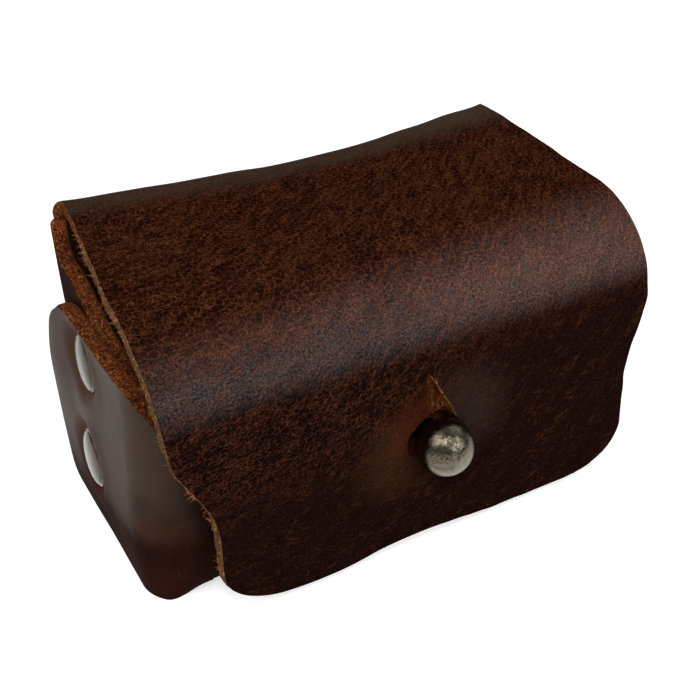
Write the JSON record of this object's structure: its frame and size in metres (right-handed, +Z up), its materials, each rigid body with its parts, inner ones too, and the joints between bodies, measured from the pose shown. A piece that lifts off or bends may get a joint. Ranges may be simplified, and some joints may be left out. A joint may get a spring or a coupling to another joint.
{
  "type": "headphone carrying case",
  "caption": "Small leather carrying case for headphones: a folded and riveted pouch whose flap runs over the top and buttons on a ball stud at the front.",
  "frame": {"origin": "middle of the floor panel's underside, where the case rests", "axes": "+X along the width, -Y towards the front leaf and its ball stud, +Z up"},
  "size_m": [0.0876, 0.0538, 0.0496],
  "materials": {
    "hide": "dark red-brown pull-up leather with a waxy sheen, raw suede at its cut edges",
    "rivet_nickel": "satin nickel plate",
    "stud_nickel": "polished nickel plate with fine scratches"
  },
  "bodies": {
    "case": {"floor_panel": "hide", "front_wall": "hide", "back_wall": "hide", "outer_wing_left": "hide", "outer_wing_right": "hide", "inner_wing_left": "hide", "inner_wing_right": "hide", "rivet_cap_left_lower": "rivet_nickel", "rivet_cap_left_upper": "rivet_nickel", "rivet_cap_right_lower": "rivet_nickel", "rivet_cap_right_upper": "rivet_nickel", "rivet_back_left_lower": "rivet_nickel", "rivet_back_left_upper": "rivet_nickel", "rivet_back_right_lower": "rivet_nickel", "rivet_back_right_upper": "rivet_nickel", "stud_ball": "stud_nickel", "stud_screw": "stud_nickel"},
    "flap_top": {"flap_top": "hide"},
    "flap_front": {"flap_front": "hide"}
  },
  "joints": [
    {"name": "flap_hinge", "type": "hinge", "parent": "case", "child": "flap_top", "pos_m": [0, 0.0168, 0.0462], "axis": [-1, 0, 0], "range_deg": [0, 130]},
    {"name": "leaf_bend", "type": "hinge", "parent": "flap_top", "child": "flap_front", "pos_m": [0, -0.02199, 0.04072], "axis": [-1, 0, 0], "range_deg": [0, 80], "deforming": ["flap_front"]}
  ]
}
